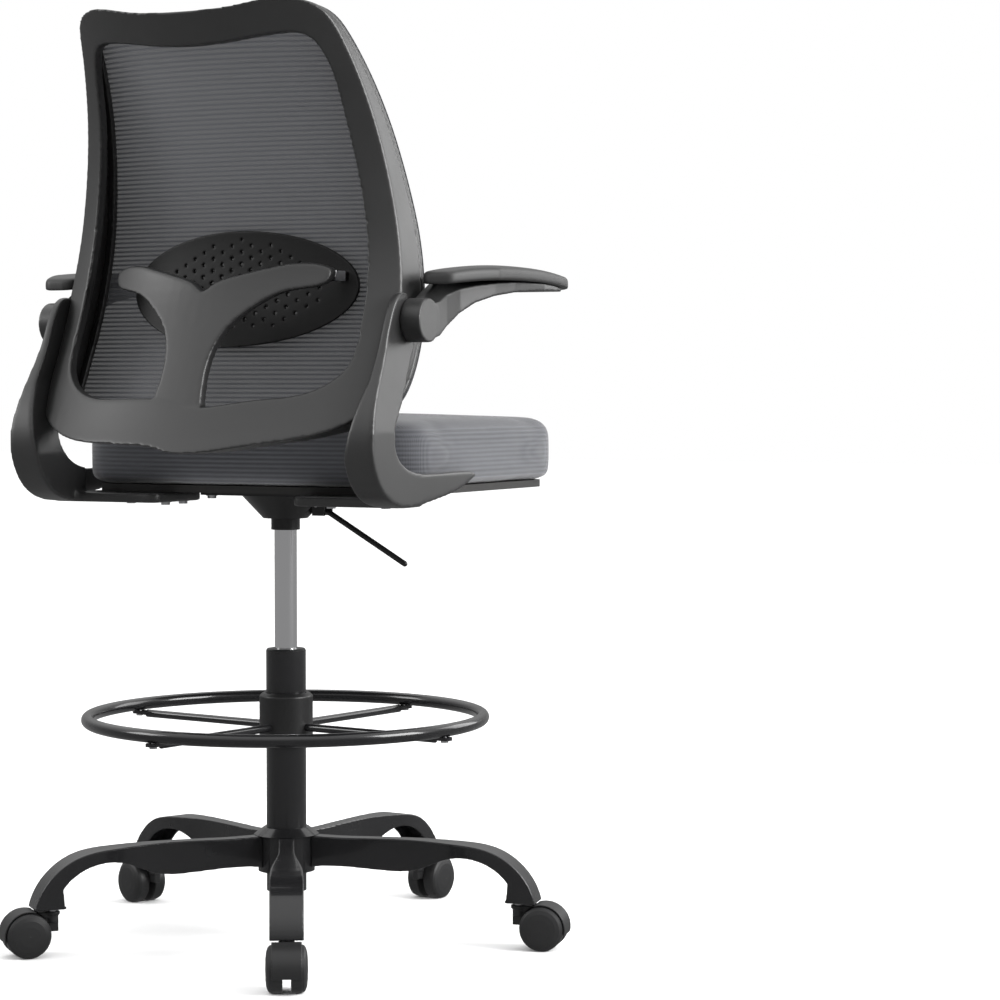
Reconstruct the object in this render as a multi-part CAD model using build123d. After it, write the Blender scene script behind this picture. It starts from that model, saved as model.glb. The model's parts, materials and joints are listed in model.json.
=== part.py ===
from build123d import *
import math
import os

# Drafting chair, in millimetres.  The origin is on the floor, on the column's axis.
# +Z is up, the sitter faces -Y, and the sitter's left is +X.

# ---- driving dimensions: column ----
TUBE_D = 50.0              # stand tube, outside
TUBE_WALL = 1.6
TUBE_BOTTOM = 60.0
TUBE_TOP = 362.0
BUSH_LENGTH = 62.0
CYLINDER_D = 28.0          # chromed gas cylinder
CYLINDER_BORE_D = 24.0
CYLINDER_BOTTOM = 224.0
MECHANISM_BOTTOM = 513.5
ROD_D = 10.0
ROD_TOP = 330.0
PISTON_LENGTH = 12.0
RUNNING_FIT = 0.05         # radial clearance of parts that slide or turn in each other
SOFT_GAP = 0.4             # clearance round soft pieces

# ---- driving dimensions: base ----
LEG_COUNT = 5
LEG_PHASE = 120.5          # heading of the first leg, degrees from +X
HUB_D = 71.0
HUB_BOTTOM = 85.0
HUB_TOP = 131.0
PIVOT_RADIUS = 300.0       # caster stem, from the column's axis
LEG_SKIN = 2.6             # pressed steel
LEG_PLATE_Z = 57.6         # underside of the plate that the stem passes through
LEG_PLATE_THICKNESS = 3.0
LEG_TOP = 131.0
LEG_UNDER = 90.5           # underside of a leg at the hub
LEG_TIP = 325.0
# Half width of a leg at distances from the column's axis.
LEG_WIDTHS = [(30, 9.5), (120, 9.5), (165, 11), (205, 15.5), (245, 19.5), (285, 20), (330, 20)]

# ---- driving dimensions: casters ----
WHEEL_R = 27.4
WHEEL_INNER = 4.8          # from the caster's middle plane to a wheel's inner face
WHEEL_OUTER = 24.6
TRAIL = 32.0
AXLE_D = 6.0
STEM_D = 10.0
HOOD_INNER_R = 28.2
HOOD_OUTER_R = 30.2
HOOD_WIDTH = 35.0
WEB_THICKNESS = 8.6

# ---- driving dimensions: foot ring ----
RING_R = 247.0             # centreline of the ring's tube
RING_TUBE_D = 16.0
RING_Z = 278.0
RING_COLLAR_D = 67.0
RING_COLLAR_BOTTOM = 244.0
RING_COLLAR_TOP = 309.0
SPOKE_COUNT = 4
SPOKE_PHASE = -9.0
SPOKE_D = 10.0
KNOB_HEADING = -54.0
KNOB_Z = 265.0
KNOB_D = 41.0
KNOB_START = 69.0
KNOB_LENGTH = 21.0

# ---- driving dimensions: seat ----
SEAT_HALF_WIDTH = 242.0
SEAT_FRONT = -318.0
SEAT_BACK = 121.0
SEAT_BOTTOM = 571.0
SEAT_TOP = 650.0
SEAT_CORNER_R = 52.0
BOARD_THICKNESS = 9.0
BOARD_INSET = 17.0
PLATE_HALF_WIDTH = 82.0
PLATE_HALF_DEPTH = 78.0
PLATE_THICKNESS = 4.0
BOWL_TOP_D = 112.0
BOWL_BOTTOM_D = 56.0
BOWL_BOTTOM = 528.0
SLEEVE_D = 36.0
LEVER_PIVOT_X = -50.0
LEVER_PIVOT_Z = 545.0
LEVER_D = 7.0
LEVER_PIN_R = 2.5
TONGUE_GAP = 0.6           # above the release pin, so that the tilted tongue clears its edge
PIN_R = 4.0
PIN_FOOT = 11.0            # heights of the release pin above the mechanism's foot
PIN_HEAD = 26.0

# ---- driving dimensions: arms ----
ARM_PIVOT_Y = 122.0
ARM_PIVOT_Z = 775.0
BARREL_R = 26.0
BARREL_INNER_X = 242.0     # distances from the chair's middle plane
BARREL_OUTER_X = 268.0
BRACKET_OUTER_X = 252.0
BRACKET_TOP_X = 241.6
BRACKET_INNER_X = 212.0    # the thick lower half's inner face
BRACKET_TOP_INNER_X = 232.0
BRACKET_THICK_TOP = 610.0  # the inner face leans out from this height
BRACKET_THIN_FROM = 700.0  # up to this one
BLADE_THICK_FROM_Y = 126.0 # ahead of it the lower half is only a fin beside the seat
FIN_INNER_X = 244.6
PAD_INNER_X = 246.5
PAD_OUTER_X = 320.0
PAD_FRONT = -161.0
PAD_REAR = 108.0
PAD_BOTTOM = 820.0
PAD_TOP = 835.0
PAD_CORNER_R = 14.0
FOOT_TOP = 561.7
FOOT_BOTTOM = 550.0
FOOT_OUTLINE = [(95, 40), (200, 40), (246, 100), (246, 150), (95, 150)]
FOOT_CORNER_R = 12.0
ARM_BOLT_R = 6.0
ARM_BOLT_HEAD_R = 9.0
ARM_BOLT_HEAD = 5.0        # depth of the head, sunk in the bracket

# ---- driving dimensions: back ----
PANEL_HALF = 262.0         # half width of the curved panels before they are trimmed
RIM_THICKNESS = 16.0
WALL_THICKNESS = 10.0
YOKE_THICKNESS = 15.0
CARRIER_THICKNESS = 9.0
CARRIER_INSET = 1.0          # from the back's outline to the mesh ring's edge
CARRIER_WIDTH = 18.0
CARRIER_GAP = 0.2            # between the mesh ring and what it sits against
BRACKET_GAP = 0.3            # room cut round each arm bracket
MESH_BRACKET_GAP = 0.5
MESH_THICKNESS = 1.6
MESH_INSET = 1.4             # from the back's outline to the mesh's edge
OUTLINE_STEPS = 72           # points along an outline that is drawn in
CURVE_STEPS = 20             # steps along a curve that is moved aside
LUMBAR_Z = 810.5
LUMBAR_HALF_WIDTH = 158.0
LUMBAR_HALF_HEIGHT = 70.5
LUMBAR_THICKNESS = 5.0
LUMBAR_STAND_OFF = 7.0       # from the mesh ring's front face to the pad
LUMBAR_LOW = 690.0           # heights that the pad's curved plate is taken between
LUMBAR_HIGH = 950.0
LUMBAR_PIVOT_Y = 117.0
LUMBAR_PIVOT_Z = 824.0
CLIP_X = 140.0
CLIP_WIDTH = 9.0
CLIP_FRONT_Y = 92.5          # where a clip's arm starts, inside the pad's plate

# Height, the back's half width there, its rear surface at that width, and how far the middle
# stands behind it.
REAR_LEVELS = [
    (590, 238, 237, 72), (640, 236, 202, 72), (700, 240, 169, 72), (760, 238, 142, 70),
    (820, 231, 125, 65), (880, 225, 117, 62), (940, 213, 122, 58), (1000, 202, 134, 55),
    (1060, 190, 156, 52), (1110, 178, 184, 50), (1160, 170, 224, 48),
]
# The same for the front face of the ring that carries the mesh.
FRONT_LEVELS = [
    (590, 238, 177, 55), (640, 236, 142, 55), (700, 240, 105, 45), (760, 238, 78, 35),
    (820, 231, 65, 30), (880, 225, 63, 28), (940, 213, 74, 28), (1000, 202, 92, 32),
    (1060, 190, 121, 40), (1110, 178, 156, 47), (1160, 170, 198, 48),
]
# Height, and the yoke's rear surface at the middle and at YOKE_HALF to each side.
YOKE_HALF = 150.0
YOKE_LEVELS = [
    (590, 296, 278), (640, 272, 250), (700, 242, 214), (744, 222, 188), (780, 205, 164),
    (812, 191, 146), (860, 176, 130),
]

# Right halves of the outlines, seen along Y, from the bottom to the top.
OUTER_HALF = [
    (0, 618), (120, 626), (200, 645), (229, 668), (238, 705), (238, 750), (228, 850),
    (212, 950), (193, 1050), (181, 1100), (166, 1131), (140, 1141), (80, 1135), (0, 1130),
]
INNER_HALF = [
    (0, 672), (100, 677), (165, 689), (191, 712), (198, 757), (195, 830), (183, 930),
    (168, 1030), (159, 1078), (146, 1099), (115, 1103), (60, 1096), (0, 1092),
]
YOKE_HALF_OUTLINE = [
    (0, 806), (10, 812), (30, 821), (75, 832), (130, 838), (149, 832), (148, 818), (110, 806),
    (70, 786), (42, 758), (30, 720), (31, 690), (40, 655), (58, 634),
]
# The arm bracket's blade seen along X: distance behind the axis, height.
BLADE_REAR = [
    (122, 801), (150, 797), (167, 774), (183, 738), (206, 698), (227, 655), (232, 622),
    (222, 590), (200, 566), (171, 554), (130, 551), (86, 556), (3, 571), (-31, 584),
]
BLADE_FRONT = [
    (-28, 588), (60, 589), (118, 591), (152, 599), (173, 617), (175, 640), (160, 663),
    (130, 710), (104, 752), (96, 775), (104, 794),
]


def turned(part, angle):
    """A part turned about the column's axis."""
    return Rot(0, 0, angle) * part


def tube(outer_d, inner_d, bottom, top):
    """A plain vertical tube on the column's axis."""
    height = top - bottom
    body = Cylinder(outer_d / 2, height) - Cylinder(inner_d / 2, height + 2)
    return Pos(0, 0, (bottom + top) / 2) * body


def rod(diameter, bottom, top):
    """A plain vertical rod on the column's axis."""
    return Pos(0, 0, (bottom + top) / 2) * Cylinder(diameter / 2, top - bottom)


def mirrored(half):
    """A whole closed outline from its right half."""
    return list(half) + [(-x, z) for x, z in reversed(half[1:-1])]


def front_prism(edges, near_y=-60.0, far_y=420.0):
    """A closed outline in X and Z made solid along Y."""
    face = Plane(origin=(0, far_y, 0), x_dir=(1, 0, 0), z_dir=(0, -1, 0)) * make_face(edges)
    return extrude(face, amount=far_y - near_y)


def beside(curve, step, distance, past=0.0):
    """The point to the left of a curve at a step along it, carried forwards by past."""
    place = curve.position_at(step)
    along = curve.tangent_at(step)
    x = place.X + past * along.X - distance * along.Y
    z = place.Y + past * along.Y + distance * along.X
    return (x, z)


def drawn_in(outline, inset):
    """Points of a closed outline moved inwards, leaving out those that a tight corner would cross."""
    steps = [i / OUTLINE_STEPS for i in range(OUTLINE_STEPS)]
    places = [outline.position_at(step) for step in steps]
    moved = []
    for step in steps:
        x, z = beside(outline, step, inset)
        nearest = min(math.hypot(x - place.X, z - place.Y) for place in places)
        if nearest > inset * 0.97:
            moved.append((x, z))
    return moved


def grown_curve(curve, distance):
    """Points of an open curve moved to its left, with both ends carried past by the same distance."""
    points = [beside(curve, 0.0, distance, -distance)]
    for i in range(1, CURVE_STEPS):
        points.append(beside(curve, i / CURVE_STEPS, distance))
    points.append(beside(curve, 1.0, distance, distance))
    return points


def spline_prism(half, inset=0.0):
    """A smooth closed outline, symmetric about X = 0, made solid along Y and drawn in by inset."""
    outline = Spline(*mirrored(half), periodic=True)
    if inset:
        outline = Spline(*drawn_in(outline, inset), periodic=True)
    plane = Plane(origin=(0, 420, 0), x_dir=(1, 0, 0), z_dir=(0, -1, 0))
    return extrude(plane * make_face(outline), amount=480)


def carried_out(levels):
    """Levels given at the back's own half widths, carried out along their arcs to PANEL_HALF."""
    wide = []
    for z, half, side, rise in levels:
        radius = (half ** 2 + rise ** 2) / (2 * rise)
        wide_rise = radius - math.sqrt(radius ** 2 - PANEL_HALF ** 2)
        wide.append((z, side + rise - wide_rise, wide_rise))
    return wide


def panel(levels, half, rear_shift, thickness):
    """A doubly curved panel lofted through arcs; levels hold height, side Y and middle rise."""
    sections = []
    for z, side_y, rise in levels:
        rear = side_y + rear_shift
        front = rear - thickness
        edges = [
            ThreePointArc((-half, rear), (0, rear + rise), (half, rear)),
            Line((half, rear), (half, front)),
            ThreePointArc((half, front), (0, front + rise), (-half, front)),
            Line((-half, front), (-half, rear)),
        ]
        sections.append(Pos(0, 0, z) * make_face(edges))
    return loft(sections)


def between_panels(rear_levels, front_levels, half, rear_shift, front_shift):
    """The space between the rear surface and the front one, each shifted along Y, as a solid."""
    sections = []
    for (z, rear_side, rear_rise), (_, side, front_rise) in zip(rear_levels, front_levels):
        rear = rear_side + rear_shift
        front = side + front_shift
        edges = [
            ThreePointArc((-half, rear), (0, rear + rear_rise), (half, rear)),
            Line((half, rear), (half, front)),
            ThreePointArc((half, front), (0, front + front_rise), (-half, front)),
            Line((-half, front), (-half, rear)),
        ]
        sections.append(Pos(0, 0, z) * make_face(edges))
    return loft(sections)


# ---- base ----

def base_hub():
    """Welded hub: a short thick tube with a flared collar that the stand tube sits in."""
    body = tube(HUB_D, TUBE_D + 0.1, HUB_BOTTOM, HUB_TOP)
    collar = Pos(0, 0, HUB_TOP + 4.5) * Cone(40.5, 28.5, 9)
    collar -= rod(TUBE_D + 0.1, HUB_TOP - 2, HUB_TOP + 12)
    return body + collar


def leg_side_face(skin):
    """Side outline of a leg in its own plane, drawn in by the skin where it is hollow."""
    root = HUB_D / 2 - 3 + skin * 3
    tip = LEG_TIP - skin
    top = Spline((root, LEG_TOP - skin), (150, 130.5 - skin), (225, 127.5 - skin), (272, 119 - skin * 1.2),
                 (302, 99 - skin), (tip, LEG_PLATE_Z))
    if skin:
        low = LEG_PLATE_Z - 30
        edges = [top, Line((tip, LEG_PLATE_Z), (tip, low)), Line((tip, low), (root, low)),
                 Line((root, low), (root, LEG_TOP - skin))]
    else:
        under = Spline((290, LEG_PLATE_Z + 24), (268, 101), (240, 110), (208, 107), (172, 93),
                       (140, 90), (root, LEG_UNDER))
        edges = [top, Line((tip, LEG_PLATE_Z), (288, LEG_PLATE_Z)),
                 Line((288, LEG_PLATE_Z), (290, LEG_PLATE_Z + 24)), under,
                 Line((root, LEG_UNDER), (root, LEG_TOP))]
    return make_face(edges)


def leg_plan_face(skin):
    """Plan outline of a leg: narrow at the hub, wide over the caster."""
    upper = [(r, w - skin) for r, w in LEG_WIDTHS]
    lower = [(r, -w) for r, w in reversed(upper)]
    edges = [Spline(*upper), Line(upper[-1], lower[0]), Spline(*lower), Line(lower[-1], upper[0])]
    return make_face(edges)


def leg_solid(skin):
    """A leg's outer body, or with a skin, the hollow inside it."""
    standing = Plane(origin=(0, 30, 0), x_dir=(1, 0, 0), z_dir=(0, -1, 0)) * leg_side_face(skin)
    return extrude(standing, amount=60) & extrude(leg_plan_face(skin), amount=200)


def base_leg():
    """A pressed steel leg along +X, open below, with the caster's plate in its end."""
    hub_space = rod(HUB_D, HUB_BOTTOM - 20, HUB_TOP + 20)
    collar_space = rod(81.4, HUB_TOP - 0.2, HUB_TOP + 20)
    shell = leg_solid(0) - leg_solid(LEG_SKIN) - hub_space - collar_space
    plate = Pos(PIVOT_RADIUS + 3, 0, LEG_PLATE_Z + LEG_PLATE_THICKNESS / 2)
    plate = plate * Box(34, 2 * (20 - LEG_SKIN) + 1, LEG_PLATE_THICKNESS)
    hole = Pos(PIVOT_RADIUS, 0, LEG_PLATE_Z) * Cylinder(STEM_D / 2 + RUNNING_FIT, 20)
    inside = leg_solid(0)
    return shell + (plate & (inside + Pos(284, 0, LEG_PLATE_Z) * Box(16, 36, 20))) - hole


def caster_stem():
    """Threaded stem of one caster, held in the leg's plate, with a shoulder under it."""
    shank = Pos(PIVOT_RADIUS, 0, 54.5) * Cylinder(STEM_D / 2, 27)
    shoulder = Pos(PIVOT_RADIUS, 0, LEG_PLATE_Z - 1.2) * Cylinder(8, 2.2)
    return shank + shoulder


def caster_nut():
    """Domed nut on top of a stem."""
    bottom = LEG_PLATE_Z + LEG_PLATE_THICKNESS
    flats = Pos(0, 0, bottom) * extrude(RegularPolygon(8.5, 6), amount=7)
    dome = Pos(0, 0, bottom + 7) * Sphere(6.8) & rod(14, bottom + 7, bottom + 14)
    return Pos(PIVOT_RADIUS, 0, 0) * (flats + dome) - caster_stem()


# ---- casters, along +X with the stem at the origin ----

def across(radius, low_y, high_y):
    """A cylinder along Y on the wheel axle's axis."""
    place = Pos(TRAIL, (low_y + high_y) / 2, WHEEL_R) * Rot(90, 0, 0)
    return place * Cylinder(radius, high_y - low_y)


def hood_sector(start_angle, end_angle):
    """A pie-shaped block about the axle, between two angles above the outward direction."""
    reach = 60.0
    points = [(0.0, 0.0)]
    step_count = 6
    for step in range(step_count + 1):
        angle = math.radians(start_angle + (end_angle - start_angle) * step / step_count)
        points.append((reach * math.cos(angle), reach * math.sin(angle)))
    face = make_face(Polyline(*points, close=True))
    plane = Plane(origin=(TRAIL, 30, WHEEL_R), x_dir=(1, 0, 0), z_dir=(0, -1, 0))
    return extrude(plane * face, amount=60)


def caster_hood():
    """Hood, web and stem boss of one caster."""
    half_web = WEB_THICKNESS / 2
    band = across(HOOD_OUTER_R, -HOOD_WIDTH / 2, HOOD_WIDTH / 2)
    band -= across(HOOD_INNER_R, -HOOD_WIDTH / 2 - 1, HOOD_WIDTH / 2 + 1)
    band &= hood_sector(-14, 108)
    web = across(HOOD_OUTER_R, -half_web, half_web) & hood_sector(-14, 150)
    web += across(9.0, -half_web, half_web)
    tail = Pos(0.5, 0, 41.5) * Box(15, WEB_THICKNESS, 25)
    boss = Pos(0, 0, 46.6) * Cylinder(7.4, 13)
    neck = Pos(0, 0, 51.6) * Cylinder(9.5, 4)
    bridge = Pos(11, 0, 50.0) * Box(22, 13, 7)
    wheel_space = across(HOOD_INNER_R, half_web, 30) + across(HOOD_INNER_R, -30, -half_web)
    body = band + web + tail + (boss + neck + bridge - wheel_space)
    body -= across(AXLE_D / 2, -30, 30)
    return body - Pos(0, 0, 52) * Cylinder(STEM_D / 2 + RUNNING_FIT, 24)


def caster_axle():
    """Axle pin through the web and both wheels."""
    return across(AXLE_D / 2, -WHEEL_OUTER + 4, WHEEL_OUTER - 4)


def caster_wheel(side):
    """One wheel with a domed outer face; side is +1 or -1 along Y."""
    low = WHEEL_INNER
    high = WHEEL_OUTER
    profile = [
        (AXLE_D / 2 + RUNNING_FIT, low), (WHEEL_R - 1.0, low), (WHEEL_R, low + 1.0), (WHEEL_R, high - 7.5),
        (WHEEL_R - 0.9, high - 4.6), (WHEEL_R - 3.4, high - 2.6), (WHEEL_R - 8, high - 1.1),
        (WHEEL_R - 15, high - 0.3), (0, high), (0, high - 3), (AXLE_D / 2 + RUNNING_FIT, high - 3),
    ]
    face = Plane.XZ * make_face(Polyline(*profile, close=True))
    wheel = revolve(face, axis=Axis.Z)
    return Pos(TRAIL, 0, WHEEL_R) * Rot(-90 * side, 0, 0) * wheel


# ---- column ----

def stand_tube():
    """Stand tube with a closed lower end that the piston rod is held in."""
    body = tube(TUBE_D, TUBE_D - 2 * TUBE_WALL, TUBE_BOTTOM, TUBE_TOP)
    floor = tube(TUBE_D - 1, ROD_D + 2 * RUNNING_FIT, TUBE_BOTTOM, TUBE_BOTTOM + 5)
    return body + floor


def guide_bush():
    """Plastic bush in the top of the stand tube, with a lip over the tube's edge."""
    bore = CYLINDER_D + 2 * RUNNING_FIT
    sleeve = tube(TUBE_D - 2 * TUBE_WALL, bore, TUBE_TOP - BUSH_LENGTH, TUBE_TOP)
    lip = tube(TUBE_D - 1, bore, TUBE_TOP, TUBE_TOP + 2.4)
    return sleeve + chamfer(lip.edges().group_by(Axis.Z)[-1].sort_by(SortBy.RADIUS)[-1], 1.2)


def piston_rod():
    """Piston rod with its piston; it stays at the tube's foot while the cylinder slides."""
    shank = rod(ROD_D, TUBE_BOTTOM - 3, ROD_TOP)
    piston = rod(CYLINDER_BORE_D - 2 * RUNNING_FIT, ROD_TOP - PISTON_LENGTH, ROD_TOP)
    return shank + piston


def thrust_bearing():
    """Two washers and a ball cage above the tube's floor, and the clip below it."""
    start = TUBE_BOTTOM + 5
    washers = tube(26, ROD_D, start, start + 2) + tube(26, ROD_D, start + 6, start + 8)
    ball_count = 8
    balls = Compound([turned(Pos(9, 0, start + 4) * Sphere(2.0), 360 / ball_count * i)
                      for i in range(ball_count)])
    clip = tube(20, ROD_D, TUBE_BOTTOM - 1.6, TUBE_BOTTOM - 0.1)
    return Compound(list(washers.solids()) + list(balls.solids()) + [clip.solid()])


def gas_cylinder():
    """Chromed cylinder, closed above, with a guide for the rod below."""
    body = rod(CYLINDER_D, CYLINDER_BOTTOM, MECHANISM_BOTTOM + 18)
    bore = rod(CYLINDER_BORE_D, CYLINDER_BOTTOM + 8, MECHANISM_BOTTOM - 8)
    guide = rod(ROD_D + 2 * RUNNING_FIT, CYLINDER_BOTTOM - 1, CYLINDER_BOTTOM + 9)
    pin_hole = rod(2 * (PIN_R + RUNNING_FIT), MECHANISM_BOTTOM + 4, MECHANISM_BOTTOM + 20)
    return body - bore - guide - pin_hole


def release_pin():
    """Valve pin in the top of the gas cylinder."""
    return rod(2 * PIN_R, MECHANISM_BOTTOM + PIN_FOOT, MECHANISM_BOTTOM + PIN_HEAD)


# ---- seat mechanism ----

def lift_mechanism():
    """Bowl-shaped pressing with a sleeve for the cylinder and a plate that the seat sits on."""
    plate_bottom = SEAT_BOTTOM - BOARD_THICKNESS - PLATE_THICKNESS
    sleeve = tube(SLEEVE_D, CYLINDER_D, MECHANISM_BOTTOM, BOWL_BOTTOM + 2)
    height = plate_bottom - BOWL_BOTTOM
    middle = (BOWL_BOTTOM + plate_bottom) / 2
    bowl = Pos(0, 0, middle) * Cone(BOWL_BOTTOM_D / 2, BOWL_TOP_D / 2, height)
    inside = Pos(0, 0, middle + 3) * Cone(BOWL_BOTTOM_D / 2 - 4, BOWL_TOP_D / 2 - 3, height)
    plate = RectangleRounded(2 * PLATE_HALF_WIDTH, 2 * PLATE_HALF_DEPTH, 14)
    plate = Pos(0, 0, plate_bottom) * extrude(plate, amount=PLATE_THICKNESS)
    body = sleeve + (bowl - inside) + plate
    body -= rod(CYLINDER_D, MECHANISM_BOTTOM - 1, MECHANISM_BOTTOM + 18)
    window = Pos(-52, 0, LEVER_PIVOT_Z - 3) * Box(40, 15, 20)
    cheeks = Pos(LEVER_PIVOT_X - 3, 9.5, LEVER_PIVOT_Z) * Box(17, 3, 26)
    cheeks += Pos(LEVER_PIVOT_X - 3, -9.5, LEVER_PIVOT_Z) * Box(17, 3, 26)
    body = body - (window & rod(200, 500, plate_bottom - 0.5)) + (cheeks & rod(300, 500, plate_bottom))
    pivot = Pos(LEVER_PIVOT_X, 0, LEVER_PIVOT_Z) * Rot(90, 0, 0) * Cylinder(LEVER_PIN_R, 60)
    for x, y in plate_bolt_places():
        body -= Pos(x, y, plate_bottom) * Cylinder(3.2, 20)
    return body - pivot


def plate_bolt_places():
    """Where the four seat bolts stand."""
    reach_x = PLATE_HALF_WIDTH - 14
    reach_y = PLATE_HALF_DEPTH - 14
    return [(x, y) for x in (-reach_x, reach_x) for y in (-reach_y, reach_y)]


def seat_bolt(x, y, head_top):
    """A bolt up into the seat board, with a round head and a washer below."""
    head = Pos(x, y, head_top - 2.7) * Cylinder(5.6, 3.4)
    washer = Pos(x, y, head_top - 0.5) * Cylinder(7.5, 1.0)
    shank = Pos(x, y, head_top + 6) * Cylinder(3, 12)
    return head + washer + shank


def plate_bolts():
    """Four bolts that hold the mechanism to the seat board."""
    under = SEAT_BOTTOM - BOARD_THICKNESS - PLATE_THICKNESS
    return Compound([seat_bolt(x, y, under).solid() for x, y in plate_bolt_places()])


def lever_pin():
    """Cross pin that the height lever turns on."""
    return Pos(LEVER_PIVOT_X, 0, LEVER_PIVOT_Z) * Rot(90, 0, 0) * Cylinder(LEVER_PIN_R, 24)


def height_lever():
    """Bent rod with a flat tongue that presses the release pin."""
    foot = MECHANISM_BOTTOM + PIN_HEAD + TONGUE_GAP
    tongue = Pos(-26, 0, LEVER_PIVOT_Z - 1) * Box(58, 10, 5)
    tongue += rod(2 * PIN_R, foot, LEVER_PIVOT_Z)
    hub = Pos(LEVER_PIVOT_X, 0, LEVER_PIVOT_Z) * Rot(90, 0, 0) * Cylinder(6, 12)
    path = FilletPolyline((-50, 0, 543), (-66, 0, 534), (-169, 0, 475), radius=18)
    section = Plane(origin=path @ 0, z_dir=path % 0) * Circle(LEVER_D / 2)
    handle = sweep(section, path=path)
    tip = Pos(-169, 0, 475) * Sphere(LEVER_D / 2)
    body = hub + tongue + handle + tip
    bore = Pos(LEVER_PIVOT_X, 0, LEVER_PIVOT_Z) * Rot(90, 0, 0) * Cylinder(LEVER_PIN_R + RUNNING_FIT, 40)
    return body - bore


# ---- seat ----

def seat_outline(inset):
    """Rounded plan outline of the seat, drawn in by inset."""
    width = 2 * (SEAT_HALF_WIDTH - inset)
    depth = SEAT_BACK - SEAT_FRONT - 2 * inset
    return Pos(0, (SEAT_BACK + SEAT_FRONT) / 2, 0) * RectangleRounded(width, depth, SEAT_CORNER_R - inset / 2)


def seat_cushion():
    """Upholstered seat as a plain crowned block with a rounded top edge."""
    low = SEAT_BOTTOM + SOFT_GAP
    block = Pos(0, 0, low) * extrude(seat_outline(0), amount=SEAT_TOP - low)
    top_edges = block.edges().group_by(Axis.Z)[-1]
    block = fillet(top_edges, 20)
    return fillet(block.edges().group_by(Axis.Z)[0], 7)


def seat_board():
    """Plywood board under the cushion, drilled for the bolts."""
    low = SEAT_BOTTOM - BOARD_THICKNESS
    board = Pos(0, 0, low) * extrude(seat_outline(BOARD_INSET), amount=BOARD_THICKNESS)
    for x, y in plate_bolt_places() + bracket_bolt_places(1) + bracket_bolt_places(-1):
        board -= Pos(x, y, low) * Cylinder(3.1, 40)
    return board


# ---- arm brackets ----

def bracket_bolt_places(side):
    """Three bolts up through a bracket's foot."""
    return [(side * x, y) for x, y in ((118, 52), (118, 92), (182, 72))]


def arm_bracket(side, grow=0.0):
    """J-shaped bracket that carries the arm and the back and bolts under the seat.

    side is +1 for the sitter's left.  grow widens the blade, to cut room for it."""
    rear_points = BLADE_REAR
    front_points = BLADE_FRONT
    if grow:
        rear_points = grown_curve(Spline(*BLADE_REAR), grow)
        front_points = grown_curve(Spline(*BLADE_FRONT), grow)
    edges = [
        Spline(*rear_points), Line(rear_points[-1], front_points[0]),
        Spline(*front_points), Line(front_points[-1], rear_points[0]),
    ]
    face = make_face(edges)
    place = Plane(origin=(FIN_INNER_X - 60 - grow, 0, 0), x_dir=(0, 1, 0), z_dir=(1, 0, 0))
    blade = extrude(place * face, amount=BRACKET_OUTER_X - FIN_INNER_X + 60 + 2 * grow)
    middle = (BRACKET_INNER_X + BRACKET_OUTER_X) / 2
    width = BRACKET_OUTER_X - BRACKET_INNER_X + 2 * grow
    thick_zone = Pos(middle, BLADE_THICK_FROM_Y + 102, 700) * Box(width, 204, 400)
    fin_zone = Pos(FIN_INNER_X + 20 - grow, 0, 620) * Box(40, 400, 600)
    upper_zone = Pos(middle, 150, 730) * Box(width, 300, 118)
    blade = (blade & (thick_zone + fin_zone + upper_zone)) - side_lean(grow) - inner_lean(grow)
    if not grow:
        blade = blade + bracket_foot()
        for x, y in bracket_bolt_places(1):
            blade -= Pos(x, y, FOOT_BOTTOM) * Cylinder(3.2, 60)
        blade -= arm_axis(BRACKET_TOP_INNER_X - 40, BRACKET_OUTER_X + 20, ARM_BOLT_R)
        head_end = BRACKET_TOP_INNER_X + ARM_BOLT_HEAD
        blade -= arm_axis(BRACKET_TOP_INNER_X - 10, head_end, ARM_BOLT_HEAD_R + RUNNING_FIT)
    return blade if side > 0 else mirror(blade, about=Plane.YZ)


def bracket_foot():
    """Flat foot that reaches in under the seat board."""
    face = make_face(Polyline(*FOOT_OUTLINE, close=True))
    face = fillet(face.vertices(), FOOT_CORNER_R)
    return Pos(0, 0, FOOT_BOTTOM) * extrude(face, amount=FOOT_TOP - FOOT_BOTTOM)


def arm_axis(start_x, end_x, radius):
    """A cylinder on the left arm's axis."""
    place = Pos((start_x + end_x) / 2, ARM_PIVOT_Y, ARM_PIVOT_Z) * Rot(0, 90, 0)
    return place * Cylinder(radius, end_x - start_x)


def inner_lean(grow):
    """What is cut off the blade's inner face, so that its upper half is thin."""
    low = BRACKET_INNER_X - grow
    high = BRACKET_TOP_INNER_X - grow
    points = [
        (low, BRACKET_THICK_TOP), (high, BRACKET_THIN_FROM), (high, 850), (low - 40, 850),
        (low - 40, BRACKET_THICK_TOP),
    ]
    place = Plane(origin=(0, 400, 0), x_dir=(1, 0, 0), z_dir=(0, -1, 0))
    return extrude(place * make_face(Polyline(*points, close=True)), amount=500)


def side_lean(grow):
    """What is cut off the blade's outer face, so that it leans in towards its top."""
    outer = BRACKET_OUTER_X + grow
    top = BRACKET_TOP_X + grow
    points = [(outer, 640), (top, 750), (top, 850), (outer + 40, 850), (outer + 40, 640)]
    place = Plane(origin=(0, 400, 0), x_dir=(1, 0, 0), z_dir=(0, -1, 0))
    return extrude(place * make_face(Polyline(*points, close=True)), amount=500)


def bracket_bolts():
    """Bolts of both bracket feet."""
    places = bracket_bolt_places(1) + bracket_bolt_places(-1)
    return Compound([seat_bolt(x, y, FOOT_BOTTOM).solid() for x, y in places])


# ---- flip-up arms ----

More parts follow.
